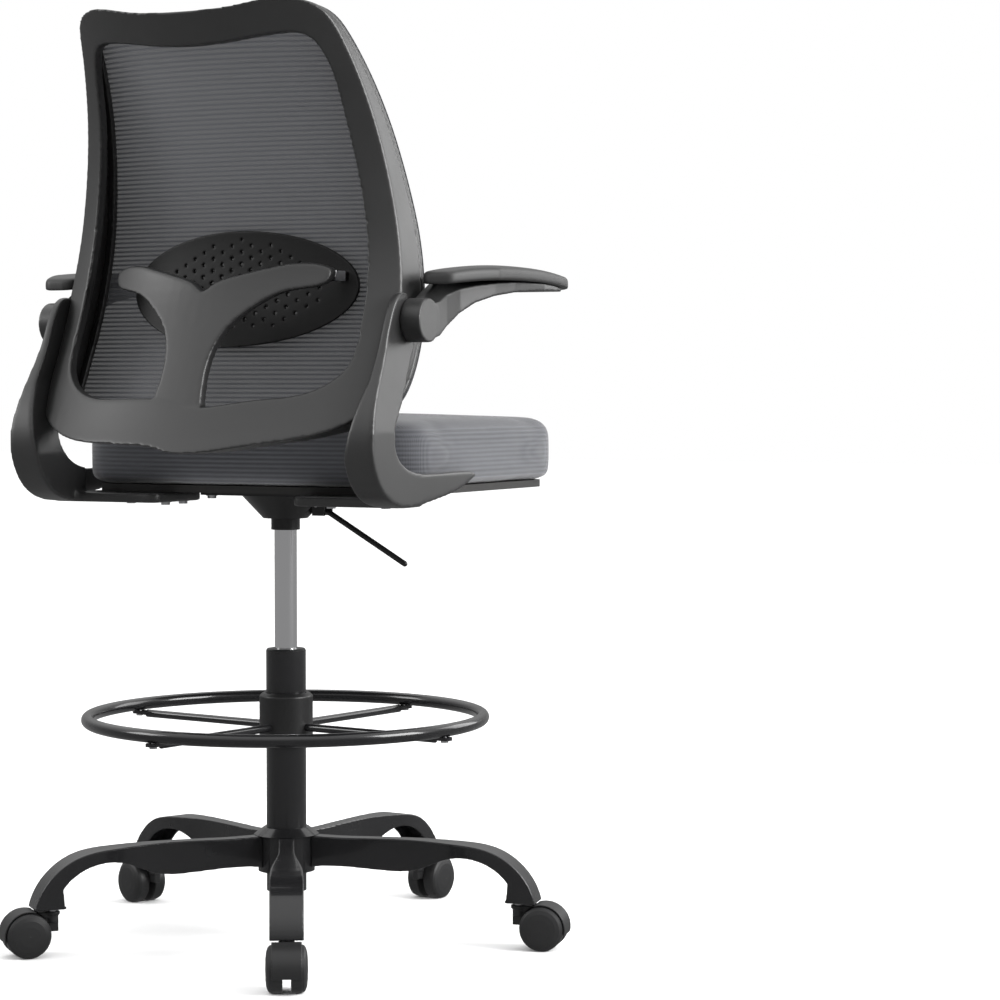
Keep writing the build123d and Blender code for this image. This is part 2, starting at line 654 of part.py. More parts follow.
def arm_plan():
    """Plan outline of an arm: as wide as the barrel behind, as wide as the pad in front."""
    inner = [
        (BARREL_INNER_X, 152), (BARREL_INNER_X, 92), (PAD_INNER_X, 62), (PAD_INNER_X, -138),
        (262, PAD_FRONT + 2),
    ]
    outer = [
        (304, PAD_FRONT + 2), (PAD_OUTER_X - 1, -138), (PAD_OUTER_X - 1, 30), (300, 74),
        (BARREL_OUTER_X, 104), (BARREL_OUTER_X, 152),
    ]
    return make_face(Polyline(*(inner + outer), close=True))


def arm_side():
    """Side outline of an arm: barrel, rising neck and the shelf under the pad."""
    top = [(142, 792), (136, 806), (118, 815), (96, PAD_BOTTOM), (PAD_FRONT + 4, PAD_BOTTOM)]
    under = [
        (PAD_FRONT + 4, 817), (-140, 811), (-90, 808.5), (-30, 804), (25, 795), (62, 781),
        (84, 766), (100, 754),
    ]
    edges = [
        Spline(*top[:4]), Line(top[3], top[4]), Line(top[4], under[0]), Spline(*under),
        Line(under[-1], (122, 760)), Line((122, 760), top[0]),
    ]
    return make_face(edges)


def arm_beam(side):
    """Moulded arm with the barrel that it flips up on."""
    place = Plane(origin=(BARREL_INNER_X - 1, 0, 0), x_dir=(0, 1, 0), z_dir=(1, 0, 0))
    profile = extrude(place * arm_side(), amount=90)
    body = profile & (Pos(0, 0, 700) * extrude(arm_plan(), amount=200))
    barrel = arm_axis(BARREL_INNER_X, BARREL_OUTER_X, BARREL_R)
    bore = arm_axis(BARREL_INNER_X - 4, BARREL_OUTER_X - 4, ARM_BOLT_R + RUNNING_FIT)
    body = body + barrel - bore
    return body if side > 0 else mirror(body, about=Plane.YZ)


def arm_pad(side):
    """Soft pad on top of an arm."""
    corners = [
        (PAD_INNER_X, PAD_REAR), (PAD_INNER_X, PAD_FRONT), (PAD_OUTER_X, PAD_FRONT),
        (PAD_OUTER_X, 40), (PAD_INNER_X + 40, PAD_REAR),
    ]
    face = make_face(Polyline(*corners, close=True))
    face = fillet(face.vertices(), PAD_CORNER_R)
    pad = Pos(0, 0, PAD_BOTTOM) * extrude(face, amount=PAD_TOP - PAD_BOTTOM)
    pad = fillet(pad.edges().group_by(Axis.Z)[-1], 5)
    return pad if side > 0 else mirror(pad, about=Plane.YZ)


def arm_bolts():
    """Pivot bolts of both arms, their heads sunk in the brackets' inner faces."""
    bolt = arm_axis(BRACKET_TOP_INNER_X, BARREL_OUTER_X - 8, ARM_BOLT_R)
    head = arm_axis(BRACKET_TOP_INNER_X, BRACKET_TOP_INNER_X + ARM_BOLT_HEAD, ARM_BOLT_HEAD_R)
    left = (bolt + head).solid()
    return Compound([left, mirror(left, about=Plane.YZ)])


# ---- back ----

def yoke():
    """Y-shaped spine that rises from the lower rail and reaches forward to the lumbar pad."""
    levels = []
    for z, middle, side in YOKE_LEVELS:
        rise = (middle - side) * (PANEL_HALF / YOKE_HALF) ** 2
        levels.append((z, middle - rise, rise))
    body = panel(levels, PANEL_HALF, 0, YOKE_THICKNESS)
    crown = Spline(*([(-x, z) for x, z in reversed(YOKE_HALF_OUTLINE[:6])] + YOKE_HALF_OUTLINE[1:6]))
    right_side = Spline(*YOKE_HALF_OUTLINE[5:])
    left_side = Spline(*[(-x, z) for x, z in reversed(YOKE_HALF_OUTLINE[5:])])
    bottom = Line(YOKE_HALF_OUTLINE[-1], (-YOKE_HALF_OUTLINE[-1][0], YOKE_HALF_OUTLINE[-1][1]))
    return body & front_prism([crown, right_side, bottom, left_side])


def back_frame():
    """Moulded rear frame: a rim round one opening, a wall forward to the mesh ring, and the yoke."""
    rear = carried_out(REAR_LEVELS)
    front = carried_out(FRONT_LEVELS)
    block = between_panels(rear, front, PANEL_HALF, 0, CARRIER_THICKNESS)
    hollow = between_panels(rear, front, PANEL_HALF, -RIM_THICKNESS, -RIM_THICKNESS)
    hollow &= spline_prism(OUTER_HALF, WALL_THICKNESS)
    body = (block & spline_prism(OUTER_HALF)) - hollow - spline_prism(INNER_HALF)
    body += yoke()
    return body - arm_bracket(1, BRACKET_GAP) - arm_bracket(-1, BRACKET_GAP)


def mesh_carrier():
    """Front ring that the mesh is stretched over."""
    thickness = CARRIER_THICKNESS - 2 * CARRIER_GAP
    body = panel(carried_out(FRONT_LEVELS), PANEL_HALF, CARRIER_THICKNESS - CARRIER_GAP, thickness)
    body &= spline_prism(OUTER_HALF, CARRIER_INSET) - spline_prism(OUTER_HALF, CARRIER_INSET + CARRIER_WIDTH)
    return body - arm_bracket(1, BRACKET_GAP) - arm_bracket(-1, BRACKET_GAP)


def back_mesh():
    """Stretched mesh over the front of its ring, as a thin closed sheet."""
    sheet = panel(carried_out(FRONT_LEVELS), PANEL_HALF, 0, MESH_THICKNESS)
    sheet &= spline_prism(OUTER_HALF, MESH_INSET)
    return sheet - arm_bracket(1, MESH_BRACKET_GAP) - arm_bracket(-1, MESH_BRACKET_GAP)


def lumbar_pad():
    """Curved, drilled oval plate with two rear clips that hang it on the yoke's arms."""
    shift = LUMBAR_STAND_OFF + LUMBAR_THICKNESS
    levels = [(z, side + shift, rise) for z, side, rise in carried_out(FRONT_LEVELS)]
    levels = [level for level in levels if LUMBAR_LOW < level[0] < LUMBAR_HIGH]
    body = panel(levels, PANEL_HALF, 0, LUMBAR_THICKNESS)
    plane = Plane(origin=(0, 300, 0), x_dir=(1, 0, 0), z_dir=(0, -1, 0))
    oval = Pos(0, LUMBAR_Z) * Ellipse(LUMBAR_HALF_WIDTH, LUMBAR_HALF_HEIGHT)
    body &= extrude(plane * oval, amount=300)
    body -= [Pos(x, 100, z) * Rot(90, 0, 0) * Cylinder(radius, 60) for x, z, radius in lumbar_holes()]
    for side in (-1, 1):
        body += lumbar_clip(side)
    return body


def lumbar_holes():
    """Staggered ventilation holes, larger towards the middle."""
    column_pitch = 13.5
    row_pitch = 15.0
    holes = []
    for column in range(-8, 9):
        shift = row_pitch / 2 if column % 2 else 0.0
        for row in range(-3, 5):
            x = column * column_pitch
            z = LUMBAR_Z + row * row_pitch + shift
            reach = math.hypot(x / (LUMBAR_HALF_WIDTH - 40), (z - LUMBAR_Z) / (LUMBAR_HALF_HEIGHT - 10))
            if reach < 1:
                holes.append((x, z, 3.1 - 1.3 * reach))
    return holes


def lumbar_clip(side):
    """A small knuckle behind the pad that turns on the yoke's tip pin."""
    x = side * CLIP_X
    knuckle = Pos(x, LUMBAR_PIVOT_Y, LUMBAR_PIVOT_Z) * Rot(0, 90, 0) * Cylinder(6.5, CLIP_WIDTH)
    arm = Pos(x, (CLIP_FRONT_Y + LUMBAR_PIVOT_Y) / 2, LUMBAR_PIVOT_Z)
    arm = arm * Box(CLIP_WIDTH, LUMBAR_PIVOT_Y - CLIP_FRONT_Y, 10)
    bore = Pos(x, LUMBAR_PIVOT_Y, LUMBAR_PIVOT_Z) * Rot(0, 90, 0) * Cylinder(3 + RUNNING_FIT, 20)
    return knuckle + arm - bore


def lumbar_pins():
    """Pins on the yoke's tips, each held between two ears."""
    pins = []
    for side in (-1, 1):
        x = side * CLIP_X
        pin = Pos(x, LUMBAR_PIVOT_Y, LUMBAR_PIVOT_Z) * Rot(0, 90, 0) * Cylinder(3, 18)
        for shift in (-7.0, 7.0):
            ear = Pos(x + shift, LUMBAR_PIVOT_Y + 6, LUMBAR_PIVOT_Z) * Box(4, 24, 12)
            pin += ear
        pins.append((pin - yoke()).solids().sort_by(SortBy.VOLUME)[-1])
    return Compound(pins)


# ---- foot ring ----

def foot_ring():
    """Round bar bent to a ring; the spokes' screws cut their own threads in it."""
    return Pos(0, 0, RING_Z) * Torus(RING_R, RING_TUBE_D / 2)


def ring_spokes():
    """Four rods with flattened ends under the ring."""
    low = RING_Z - RING_TUBE_D / 2 - 4.1
    start = RING_COLLAR_D / 2
    length = RING_R - 14 - start
    shank = Pos(start + length / 2, 0, low + 1) * Rot(0, 90, 0) * Cylinder(SPOKE_D / 2, length)
    tab = Pos(RING_R - 6, 0, low + 2) * Box(30, 15, 4)
    tab = fillet(tab.edges().filter_by(Axis.Z), 6)
    neck = Pos(RING_R - 17, 0, low + 1.5) * Box(12, 10, 5)
    spoke = shank + tab + neck - Pos(RING_R, 0, low) * Cylinder(2.6, 20)
    return Compound([turned(spoke, SPOKE_PHASE + 90 * i).solid() for i in range(SPOKE_COUNT)])


def ring_screws():
    """Screws up through the spokes' tabs into the ring."""
    low = RING_Z - RING_TUBE_D / 2 - 4.1
    screw = Pos(RING_R, 0, low - 1.3) * Cylinder(4.6, 2.6) + Pos(RING_R, 0, low + 5) * Cylinder(2.5, 10)
    return Compound([turned(screw, SPOKE_PHASE + 90 * i).solid() for i in range(SPOKE_COUNT)])


def ring_collar():
    """Moulded collar that slides on the stand tube, with a boss for the clamp screw."""
    bore = TUBE_D + 2 * RUNNING_FIT
    body = tube(RING_COLLAR_D, bore, RING_COLLAR_BOTTOM, RING_COLLAR_TOP)
    body = chamfer(body.edges().group_by(Axis.Z)[-1].sort_by(SortBy.RADIUS)[-1], 4)
    boss = turned(Pos(38, 0, KNOB_Z) * Rot(0, 90, 0) * Cylinder(11, 12), KNOB_HEADING)
    boss -= rod(TUBE_D + 8, RING_COLLAR_BOTTOM, RING_COLLAR_TOP)
    hole = turned(Pos(38, 0, KNOB_Z) * Rot(0, 90, 0) * Cylinder(4 + RUNNING_FIT, 40), KNOB_HEADING)
    return body + boss - hole


def ring_knob():
    """Eight-sided grip with softened corners."""
    profile = make_face(Polyline(*knob_outline(), close=True))
    grip = Plane(origin=(KNOB_START, 0, KNOB_Z), x_dir=(0, 1, 0), z_dir=(1, 0, 0)) * profile
    grip = extrude(grip, amount=KNOB_LENGTH)
    cap = Rot(0, 90, 0) * Cone(KNOB_D / 2 + 4, KNOB_D / 2 - 1.5, KNOB_LENGTH)
    cap = Pos(KNOB_START + KNOB_LENGTH / 2, 0, KNOB_Z) * cap
    neck = Pos(KNOB_START - 4, 0, KNOB_Z) * Rot(0, 90, 0) * Cylinder(9, 8)
    hole = Pos(KNOB_START, 0, KNOB_Z) * Rot(0, 90, 0) * Cylinder(4, 24)
    return turned((grip & cap) + neck - hole, KNOB_HEADING)


def knob_outline():
    """Lobed outline of the grip."""
    lobe_count = 8
    point_count = lobe_count * 8
    points = []
    for i in range(point_count):
        angle = 2 * math.pi * i / point_count
        radius = KNOB_D / 2 - 1.2 + 1.2 * math.cos(lobe_count * angle)
        points.append((radius * math.cos(angle), radius * math.sin(angle)))
    return points


def ring_knob_screw():
    """Clamp screw fixed in the knob."""
    start = TUBE_D / 2 + 0.3
    end = KNOB_START + 12
    screw = Pos((start + end) / 2, 0, KNOB_Z) * Rot(0, 90, 0) * Cylinder(4, end - start)
    return turned(screw, KNOB_HEADING)


def build_all():
    """Every node by name."""
    nodes = {
        "base_hub": base_hub(),
        "stand_tube": stand_tube(),
        "guide_bush": guide_bush(),
        "piston_rod": piston_rod(),
        "thrust_bearing": thrust_bearing(),
        "gas_cylinder": gas_cylinder(),
        "release_pin": release_pin(),
        "lift_mechanism": lift_mechanism(),
        "height_lever": height_lever(),
        "lever_pin": lever_pin(),
        "plate_bolts": plate_bolts(),
        "seat_board": seat_board(),
        "seat_cushion": seat_cushion(),
        "bracket_bolts": bracket_bolts(),
        "arm_bolts": arm_bolts(),
        "back_frame": back_frame(),
        "mesh_carrier": mesh_carrier(),
        "back_mesh": back_mesh(),
        "lumbar_pad": lumbar_pad(),
        "lumbar_pins": lumbar_pins(),
        "foot_ring": foot_ring(),
        "ring_spokes": ring_spokes(),
        "ring_screws": ring_screws(),
        "ring_collar": ring_collar(),
        "ring_knob": ring_knob(),
        "ring_knob_screw": ring_knob_screw(),
    }
    for name, side in (("left", 1), ("right", -1)):
        nodes["arm_bracket_" + name] = arm_bracket(side)
        nodes["arm_beam_" + name] = arm_beam(side)
        nodes["arm_pad_" + name] = arm_pad(side)
    leg = base_leg()
    stem = caster_stem()
    nut = caster_nut()
    hood = caster_hood()
    axle = caster_axle()
    headings = [LEG_PHASE + 360 / LEG_COUNT * i for i in range(LEG_COUNT)]
    nodes["caster_stems"] = Compound([turned(stem, heading).solid() for heading in headings])
    nodes["caster_nuts"] = Compound([turned(nut, heading).solid() for heading in headings])
    for number, heading in enumerate(headings, start=1):
        place = Rot(0, 0, heading) * Pos(PIVOT_RADIUS, 0, 0)
        nodes[f"base_leg_{number}"] = turned(leg, heading)
        nodes[f"caster_hood_{number}"] = place * hood
        nodes[f"caster_axle_{number}"] = place * axle
        nodes[f"caster_wheel_{number}a"] = place * caster_wheel(1)
        nodes[f"caster_wheel_{number}b"] = place * caster_wheel(-1)
    return nodes


def main():
    """Write one STEP file for each node."""
    os.makedirs("parts", exist_ok=True)
    for name, shape in build_all().items():
        export_step(shape, f"parts/{name}.step")


main()
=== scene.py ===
import json
import math

import bmesh
import bpy
from mathutils import Matrix, Vector


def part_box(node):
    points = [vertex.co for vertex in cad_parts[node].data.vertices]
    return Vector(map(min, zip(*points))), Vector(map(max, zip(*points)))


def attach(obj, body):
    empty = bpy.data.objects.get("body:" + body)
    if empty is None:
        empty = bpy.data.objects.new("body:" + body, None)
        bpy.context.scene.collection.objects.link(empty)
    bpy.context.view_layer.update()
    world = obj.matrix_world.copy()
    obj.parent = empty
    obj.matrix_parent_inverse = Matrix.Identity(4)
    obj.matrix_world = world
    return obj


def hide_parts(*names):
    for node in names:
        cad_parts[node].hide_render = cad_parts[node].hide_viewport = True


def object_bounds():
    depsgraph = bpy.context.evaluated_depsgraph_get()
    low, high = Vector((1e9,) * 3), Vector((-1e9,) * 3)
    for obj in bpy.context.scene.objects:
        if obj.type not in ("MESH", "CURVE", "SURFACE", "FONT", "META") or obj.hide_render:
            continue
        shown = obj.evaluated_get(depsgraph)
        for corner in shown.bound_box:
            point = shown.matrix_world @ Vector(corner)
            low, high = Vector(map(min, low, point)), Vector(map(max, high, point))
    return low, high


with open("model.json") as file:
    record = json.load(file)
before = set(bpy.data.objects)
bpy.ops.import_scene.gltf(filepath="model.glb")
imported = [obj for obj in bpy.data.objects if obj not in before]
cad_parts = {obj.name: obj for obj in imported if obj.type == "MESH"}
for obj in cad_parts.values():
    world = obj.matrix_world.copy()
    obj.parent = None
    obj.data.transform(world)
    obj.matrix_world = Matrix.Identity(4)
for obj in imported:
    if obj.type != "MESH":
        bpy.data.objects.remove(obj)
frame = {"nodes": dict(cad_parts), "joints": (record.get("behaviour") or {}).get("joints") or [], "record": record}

NODES = frame["nodes"]
CAD_LOW, CAD_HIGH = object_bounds()

# Camera: where it stands round the column, and how it is turned.
CAMERA_AZIMUTH = math.radians(210.565)
CAMERA_DISTANCE = 3.6046
CAMERA_HEIGHT = 0.6986
CAMERA_PITCH = math.radians(-2.363)
CAMERA_YAW = math.radians(4.27)
CAMERA_LENS = 103.5
CAMERA_SENSOR = 36.0
CAMERA_FAR = 100.0

# All lengths are in metres.
RIB_PITCH = 0.0055
TOP_RIB_PITCH = RIB_PITCH * 0.55
THREAD_PITCH = 0.0013
THREAD_WAVER = 0.3
# Shares of the seat fabric's relief, and how far up a face points before its ribs run across.
RIB_SHARE = 0.75
THREAD_SHARE = 0.25
TOP_NORMAL = 0.7

# Faces whose normal has more Y than this are the sheet's edges and rear.
MESH_FRONT_NORMAL = -0.3
WELD_DISTANCE = 0.00001

# Seat cushion: VOXEL is the remesh size, START how far inside the CAD shape the cover starts, PRESSURE,
# FRAMES and CAP its swelling, EASE the rounds of smoothing and CROWN the rise of the top.
CUSHION_VOXEL = 0.005
CUSHION_START = 0.003
CUSHION_PRESSURE = 4.0
CUSHION_FRAMES = 20
CUSHION_CAP = 0.0045
CUSHION_EASE = 14
CUSHION_CROWN = 0.007
PAD_VOXEL = 0.0022
PAD_EASE = 10
PAD_CROWN = 0.0035
# How quickly a crown fades downwards, and a droop towards the middle.
CROWN_POWER = 3
DROOP_POWER = 2.5

# Sections of the right or left arm, from the barrel forwards, measured from the arm's pivot:
# along Y, inner and outer X away from the middle, underside, top of the outer face, and top.
ARM_SECTIONS = [
    (-0.004, -0.012, 0.012, -0.023, 0.020, 0.024),
    (-0.027, -0.012, 0.013, -0.019, 0.021, 0.035),
    (-0.044, -0.010, 0.0135, -0.009, 0.028, 0.043),
    (-0.067, -0.0085, 0.019, 0.006, 0.035, 0.0445),
    (-0.090, -0.0085, 0.029, 0.018, 0.039, 0.0445),
    (-0.117, -0.0085, 0.041, 0.026, 0.042, 0.0445),
    (-0.150, -0.0085, 0.052, 0.031, 0.044, 0.0445),
    (-0.210, -0.0085, 0.062, 0.035, 0.044, 0.0445),
    (-0.262, -0.0070, 0.060, 0.038, 0.0435, 0.0445),
    (-0.278, 0.0060, 0.046, 0.040, 0.043, 0.0440),
]
ARM_CUTS = 3
ARM_ROUNDING = 0.6
ARM_VOXEL = 0.0012
ARM_EASE = 6
# The pads' ends drop by this much, and the arms' by a share of it.
PAD_END_DROP = 0.008
ARM_END_DROP = PAD_END_DROP * 0.6
# The barrel reaches this far out past the pivot.
BARREL_OUTSIDE = 0.013
BARREL_SEGMENTS = 64

# CAD parts that are moulded or pressed in one piece: remesh size and rounds of smoothing.
SOFT_EDGES = {
    "back_frame": (0.0018, 12),
    "mesh_carrier": (0.0016, 6),
    "lumbar_pad": (0.0011, 3),
    "ring_collar": (0.0010, 3),
    "ring_knob": (0.0008, 3),
    "arm_bracket_left": (0.0018, 14),
    "arm_bracket_right": (0.0018, 14),
}
LEG_COUNT = 5
LEG_EDGES = (0.0011, 5)
HOOD_EDGES = (0.0008, 3)

FRAME_COLOUR = (0.011, 0.011, 0.0111, 1)
FABRIC_DARK = (0.024, 0.025, 0.0295, 1)
FABRIC_LIGHT = (0.052, 0.054, 0.062, 1)
WHITE = (1, 1, 1, 1)
VENEER = (0.012, 0.011, 0.010, 1)
VENEER_DARK = (0.007, 0.007, 0.007, 1)
VENEER_LIGHT = (0.016, 0.015, 0.014, 1)
# Textures: scales in cells per metre and relief depths in metres.
UNEVEN_SCALE = 14.0
SPARK_SCALE = 900.0
SPARK_DEPTH = 0.00006
COAT_SCALE = 30.0
PEEL_SCALE = 420.0
PEEL_DEPTH = 0.00004
DRAWN_SCALE = 260.0
DRAWN_DEPTH = 0.000015
WEAR_SCALE = 60.0
WEAR_DETAIL = 5.0
SEAT_DEPTH = 0.0006
MESH_DEPTH = 0.0004
VENEER_SCALE = 60.0
VENEER_DETAIL = 6.0
VENEER_STRETCH = (0.15, 1, 4)
VENEER_DEPTH = 0.0001
# How much of the seat's rib colour is kept where it is most and least worn.
WEAR_LOW = 0.75
WEAR_HIGH = 1.25
# Back mesh: its threads' share of the relief, its cover where it is thinnest, and shares of FABRIC_LIGHT.
MESH_THREAD_SHARE = 0.75
MESH_COVER = 0.90
MESH_DARK = 0.6
MESH_LIGHT = 0.95
# How far a moulding's colour and roughness vary.
COLOUR_LOW = 0.85
COLOUR_HIGH = 1.15
ROUGHNESS_SPREAD = 0.06

# Surroundings: strength below and above, and the heights between which it changes.
SURROUND_LOW = 0.32
SURROUND_HIGH = 1.9
SURROUND_FROM = 0.1
SURROUND_TO = 0.9
FLOOR_SIZE = 40
FLOOR_COLOUR = (0.88, 0.88, 0.88, 1)
FLOOR_ROUGHNESS = 0.7
# Soft boxes: name, place, size and power.
SOFT_BOXES = [
    ("key_box", (-3.0, -0.4, 1.7), 1.6, 150),
    ("sheen_box", (-1.6, -2.8, 1.5), 1.6, 34),
    ("left_box", (2.6, 1.6, 1.8), 1.2, 40),
]
# The wave texture turns this many radians in one unit.
WAVE_TURN = 20


def new_object(name, data):
    """An object in the scene."""
    piece = bpy.data.objects.new(name, data)
    bpy.context.scene.collection.objects.link(piece)
    return piece


# ---- materials ----

def new_material(name, colour, roughness, metallic=0.0):
    """A principled material, with its node tree and shader."""
    material = bpy.data.materials.new(name)
    material.use_nodes = True
    tree = material.node_tree
    shader = tree.nodes["Principled BSDF"]
    shader.inputs["Base Color"].default_value = colour
    shader.inputs["Roughness"].default_value = roughness
    shader.inputs["Metallic"].default_value = metallic
    return material, tree, shader


def object_place(tree):
    """Places in the row's frame, in metres."""
    return tree.nodes.new("ShaderNodeTexCoord").outputs["Object"]


def noise(tree, scale, detail=3.0, stretch=(1, 1, 1)):
    """A noise value; scale is in cells per metre."""
    mapping = tree.nodes.new("ShaderNodeMapping")
    mapping.inputs["Scale"].default_value = stretch
    tree.links.new(object_place(tree), mapping.inputs["Vector"])
    texture = tree.nodes.new("ShaderNodeTexNoise")
    texture.inputs["Scale"].default_value = scale
    texture.inputs["Detail"].default_value = detail
    tree.links.new(mapping.outputs["Vector"], texture.inputs["Vector"])
    return texture.outputs["Fac"]


def bands(tree, axis, pitch, waver=0.0):
    """A value that rises and falls along an axis, once in each pitch."""
    texture = tree.nodes.new("ShaderNodeTexWave")
    texture.bands_direction = axis
    texture.inputs["Scale"].default_value = 2 * math.pi / (WAVE_TURN * pitch)
    texture.inputs["Distortion"].default_value = waver
    texture.inputs["Detail Scale"].default_value = 2.0
    tree.links.new(object_place(tree), texture.inputs["Vector"])
    return texture.outputs["Fac"]


def to_range(tree, value, low, high):
    """A value from 0 to 1 spread over another range."""
    node = tree.nodes.new("ShaderNodeMapRange")
    node.inputs["To Min"].default_value = low
    node.inputs["To Max"].default_value = high
    tree.links.new(value, node.inputs["Value"])
    return node.outputs["Result"]


def mix_colours(tree, value, first, second):
    """One colour at 0 and the other at 1."""
    node = tree.nodes.new("ShaderNodeMix")
    node.data_type = "RGBA"
    colour_inputs = [socket for socket in node.inputs if socket.type == "RGBA"]
    colour_inputs[0].default_value = first
    colour_inputs[1].default_value = second
    tree.links.new(value, node.inputs["Factor"])
    return next(socket for socket in node.outputs if socket.type == "RGBA")


def calculate(tree, operation, first, second):
    """A math node on a value and a value or number."""
    node = tree.nodes.new("ShaderNodeMath")
    node.operation = operation
    tree.links.new(first, node.inputs[0])
    if isinstance(second, (int, float)):
        node.inputs[1].default_value = second
    else:
        tree.links.new(second, node.inputs[1])
    return node.outputs[0]


def add_bump(tree, shader, value, depth):
    """Relief of that depth at full strength."""
    bump = tree.nodes.new("ShaderNodeBump")
    bump.inputs["Distance"].default_value = depth
    bump.inputs["Strength"].default_value = 1.0
    tree.links.new(value, bump.inputs["Height"])
    tree.links.new(bump.outputs["Normal"], shader.inputs["Normal"])


def shifted(colour, factor):
    """A lighter or darker colour."""
    return tuple(c * factor for c in colour[:3]) + (1,)


def moulded_plastic(name, colour, roughness, grain=SPARK_SCALE, depth=SPARK_DEPTH, specular=0.5):
    """Satin moulding with a fine spark-eroded grain and slightly uneven gloss."""
    material, tree, shader = new_material(name, colour, roughness)
    shader.inputs["Specular IOR Level"].default_value = specular
    broad = noise(tree, UNEVEN_SCALE)
    uneven = to_range(tree, broad, roughness - ROUGHNESS_SPREAD, roughness + ROUGHNESS_SPREAD)
    tree.links.new(uneven, shader.inputs["Roughness"])
    tint = mix_colours(tree, broad, shifted(colour, COLOUR_LOW), shifted(colour, COLOUR_HIGH))
    tree.links.new(tint, shader.inputs["Base Color"])
    add_bump(tree, shader, noise(tree, grain, 2.0), depth)
    return material


def gloss_paint(name, colour, roughness):
    """Powder coat under a clear shine, with faint orange peel."""
    material, tree, shader = new_material(name, colour, roughness)
    shader.inputs["Specular IOR Level"].default_value = 0.2
    shader.inputs["Coat Weight"].default_value = 0.4
    shader.inputs["Coat Roughness"].default_value = 0.07
    uneven = to_range(tree, noise(tree, COAT_SCALE), roughness - 0.05, roughness + 0.07)
    tree.links.new(uneven, shader.inputs["Roughness"])
    add_bump(tree, shader, noise(tree, PEEL_SCALE, 1.0), PEEL_DEPTH)
    return material


def bare_metal(name, colour, roughness, stretch):
    """Plated or polished steel with fine drawn lines."""
    material, tree, shader = new_material(name, colour, roughness, 1.0)
    lines = noise(tree, DRAWN_SCALE, 2.0, stretch)
    tree.links.new(to_range(tree, lines, roughness - 0.03, roughness + 0.06), shader.inputs["Roughness"])
    add_bump(tree, shader, lines, DRAWN_DEPTH)
    return material


def seat_fabric():
    """Ribbed upholstery: ribs run round the sides, and across on top."""
    material, tree, shader = new_material("seat_fabric", FABRIC_LIGHT, 0.9)
    shader.inputs["Sheen Weight"].default_value = 0.25
    shader.inputs["Sheen Roughness"].default_value = 0.5
    normal = tree.nodes.new("ShaderNodeSeparateXYZ")
    tree.links.new(tree.nodes.new("ShaderNodeNewGeometry").outputs["Normal"], normal.inputs["Vector"])
    upward = calculate(tree, "GREATER_THAN", normal.outputs["Z"], TOP_NORMAL)
    side = bands(tree, "Z", RIB_PITCH)
    top = bands(tree, "Y", TOP_RIB_PITCH)
    rib = tree.nodes.new("ShaderNodeMix")
    tree.links.new(upward, rib.inputs["Factor"])
    tree.links.new(side, rib.inputs["A"])
    tree.links.new(top, rib.inputs["B"])
    threads = bands(tree, "X", THREAD_PITCH, THREAD_WAVER)
    height = calculate(tree, "MULTIPLY_ADD", rib.outputs["Result"], RIB_SHARE)
    tree.links.new(calculate(tree, "MULTIPLY", threads, THREAD_SHARE), height.node.inputs[2])
    wear = to_range(tree, noise(tree, WEAR_SCALE, WEAR_DETAIL), WEAR_LOW, WEAR_HIGH)
    worn = calculate(tree, "MULTIPLY", height, wear)
    tree.links.new(mix_colours(tree, worn, FABRIC_DARK, FABRIC_LIGHT), shader.inputs["Base Color"])
    add_bump(tree, shader, height, SEAT_DEPTH)
    return material


def mesh_fabric():
    """Open stretch mesh: level ribs with fine threads between, and air in the gaps."""
    material, tree, shader = new_material("back_mesh_fabric", FABRIC_DARK, 0.8)
    shader.inputs["Sheen Weight"].default_value = 0.15
    ribs = bands(tree, "Z", RIB_PITCH)
    threads = bands(tree, "X", THREAD_PITCH)
    cover = calculate(tree, "MAXIMUM", ribs, calculate(tree, "MULTIPLY", threads, MESH_THREAD_SHARE))
    tree.links.new(to_range(tree, cover, MESH_COVER, 1.0), shader.inputs["Alpha"])
    colour = mix_colours(tree, ribs, shifted(FABRIC_LIGHT, MESH_DARK), shifted(FABRIC_LIGHT, MESH_LIGHT))
    tree.links.new(colour, shader.inputs["Base Color"])
    add_bump(tree, shader, cover, MESH_DEPTH)
    return material


def plywood():
    """Black stained veneer with long grain."""
    material, tree, shader = new_material("plywood", VENEER, 0.75)
    grain = noise(tree, VENEER_SCALE, VENEER_DETAIL, VENEER_STRETCH)
    colour = mix_colours(tree, grain, VENEER_DARK, VENEER_LIGHT)
    tree.links.new(colour, shader.inputs["Base Color"])
    add_bump(tree, shader, grain, VENEER_DEPTH)
    return material


